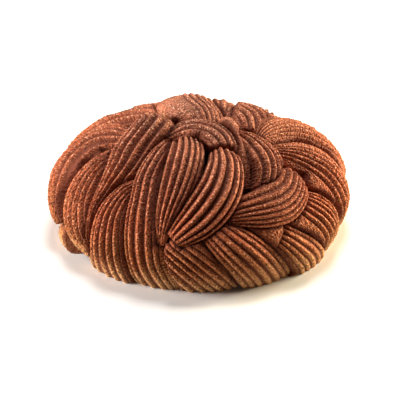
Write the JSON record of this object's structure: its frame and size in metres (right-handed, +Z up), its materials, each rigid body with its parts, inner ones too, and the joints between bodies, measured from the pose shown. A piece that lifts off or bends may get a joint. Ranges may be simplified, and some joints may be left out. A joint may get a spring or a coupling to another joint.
{
  "type": "braided moulded cake",
  "caption": "Domed mousse cake that looks braided: ribbed strands lie over and under each other on a layered core with a flat base.",
  "frame": {"origin": "on the cake's axis, in the plane of its flat base", "axes": "+Z up along the cake's axis; -Y is the side that the picture shows, +X to its right"},
  "size_m": [0.217, 0.2178, 0.0807],
  "materials": {
    "cocoa_velvet": "matt sprayed cocoa velvet, finely grainy, reddish brown",
    "sponge": "matt, open-pored dark sponge",
    "crunch": "matt, coarse praline crunch",
    "cremeux": "smooth, slightly glossy dark chocolate cream"
  },
  "bodies": {
    "root": {"mousse_core": "cocoa_velvet", "sponge_base": "sponge", "crunch_layer": "crunch", "cremeux": "cremeux", "strand_foot_1": "cocoa_velvet", "strand_foot_2": "cocoa_velvet", "strand_foot_3": "cocoa_velvet", "strand_foot_4": "cocoa_velvet", "strand_foot_5": "cocoa_velvet", "strand_foot_6": "cocoa_velvet", "strand_foot_7": "cocoa_velvet", "strand_foot_8": "cocoa_velvet", "strand_foot_9": "cocoa_velvet", "strand_foot_left": "cocoa_velvet", "strand_back_left": "cocoa_velvet", "strand_left_upper": "cocoa_velvet", "strand_left_lower": "cocoa_velvet", "strand_crown_right": "cocoa_velvet", "strand_crown_under": "cocoa_velvet", "strand_crown_back": "cocoa_velvet", "strand_right_under": "cocoa_velvet", "strand_right_upper": "cocoa_velvet", "strand_right_lower": "cocoa_velvet", "strand_foot_right": "cocoa_velvet", "strand_front_under": "cocoa_velvet", "strand_foot_front_right": "cocoa_velvet", "strand_foot_front_left": "cocoa_velvet", "strand_foot_front": "cocoa_velvet", "strand_back_over_right": "cocoa_velvet", "strand_back_over": "cocoa_velvet", "strand_back_over_left": "cocoa_velvet", "strand_crown_tongue": "cocoa_velvet", "strand_crown_arch": "cocoa_velvet", "strand_right_shoulder": "cocoa_velvet", "strand_left_shoulder": "cocoa_velvet", "strand_left_fan": "cocoa_velvet", "strand_left_long": "cocoa_velvet", "strand_front_centre": "cocoa_velvet", "strand_right_over": "cocoa_velvet", "strand_front_over": "cocoa_velvet"}
  },
  "joints": []
}
